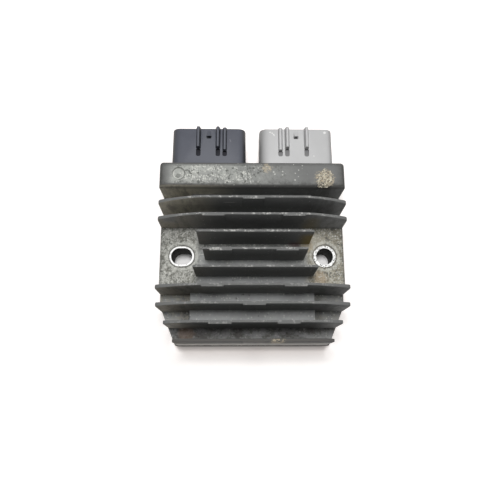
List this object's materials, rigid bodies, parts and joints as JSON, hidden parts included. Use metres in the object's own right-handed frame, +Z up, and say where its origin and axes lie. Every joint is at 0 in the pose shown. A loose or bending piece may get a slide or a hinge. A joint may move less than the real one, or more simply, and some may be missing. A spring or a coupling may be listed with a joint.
{
  "type": "voltage regulator rectifier",
  "caption": "Finned die-cast voltage regulator rectifier with bolt ears, a potted back and keyed black and grey blade connectors on one end.",
  "frame": {"origin": "below the middle of the part, in the plane of its mounting face", "axes": "+X towards the ear with the round hole, +Y towards the connectors, +Z up along the fins"},
  "size_m": [0.0968, 0.1138, 0.037],
  "materials": {
    "cast_aluminium": "weathered die casting",
    "black_plastic": "moulded, slightly faded",
    "grey_plastic": "moulded",
    "tinned_brass": "tinned",
    "insulated_metal": "bare",
    "package_epoxy": "moulded",
    "circuit_board": "solder mask",
    "film_capacitor": "dipped",
    "capacitor_can": "drawn",
    "resistor_body": "moulded",
    "potting_resin": "poured resin"
  },
  "bodies": {
    "root": {"finned_housing": "cast_aluminium", "stator_connector_shell": "black_plastic", "output_connector_shell": "grey_plastic", "stator_blade_1": "tinned_brass", "stator_blade_2": "tinned_brass", "stator_blade_3": "tinned_brass", "output_blade_1": "tinned_brass", "output_blade_2": "tinned_brass", "output_blade_3": "tinned_brass", "power_substrate": "insulated_metal", "rectifier_diode_1": "package_epoxy", "rectifier_diode_2": "package_epoxy", "rectifier_diode_3": "package_epoxy", "switching_device_1": "package_epoxy", "switching_device_2": "package_epoxy", "switching_device_3": "package_epoxy", "control_board": "circuit_board", "controller_chip": "package_epoxy", "filter_capacitor": "film_capacitor", "reference_capacitor": "capacitor_can", "sense_resistor_1": "resistor_body", "sense_resistor_2": "resistor_body", "sense_resistor_3": "resistor_body", "link_pin_1": "tinned_brass", "link_pin_2": "tinned_brass", "link_pin_3": "tinned_brass", "link_pin_4": "tinned_brass", "potting_compound": "potting_resin"}
  },
  "joints": []
}
